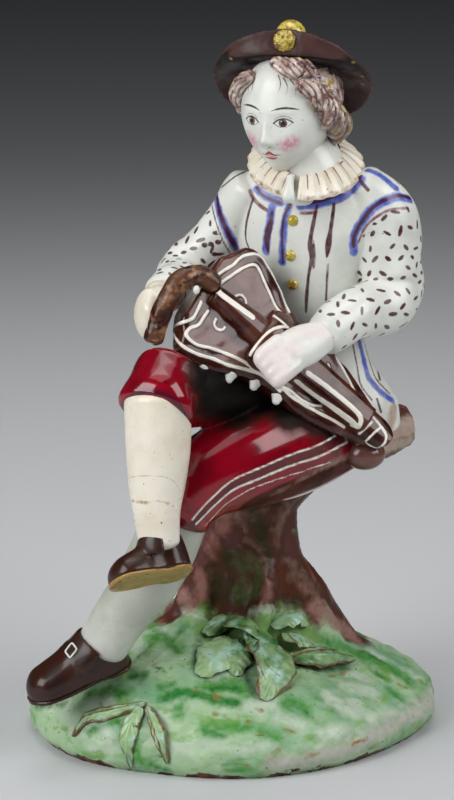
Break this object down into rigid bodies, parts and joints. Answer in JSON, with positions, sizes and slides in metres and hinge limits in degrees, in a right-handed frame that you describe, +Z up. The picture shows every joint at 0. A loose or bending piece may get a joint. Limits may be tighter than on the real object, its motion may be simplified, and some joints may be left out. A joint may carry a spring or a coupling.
{
  "type": "faience figurine",
  "caption": "Tin-glazed earthenware figurine of a seated boy in a brimmed hat playing a hurdy-gurdy, on a tree stump over a green mound base.",
  "frame": {"origin": "on the flat underside of the base, near its middle under the stump", "axes": "+Z up; the figure's front faces -Y, its left arm and the instrument's pegbox are towards +X"},
  "size_m": [0.1046, 0.0978, 0.1807],
  "materials": {
    "tin_glaze": "cool white opaque tin glaze with a broad soft shine",
    "green_glaze": "mottled copper green over white, glossy, worn to clay along the foot",
    "crimson_enamel": "deep crimson over-glaze enamel, high gloss",
    "manganese_brown": "purple-brown manganese glaze, glossy",
    "yellow_enamel": "dull yellow enamel, worn on its high spots",
    "cream_restoration": "cream paint over an old repair, satin"
  },
  "bodies": {
    "root": {"figurine": "tin_glaze"}
  },
  "joints": []
}
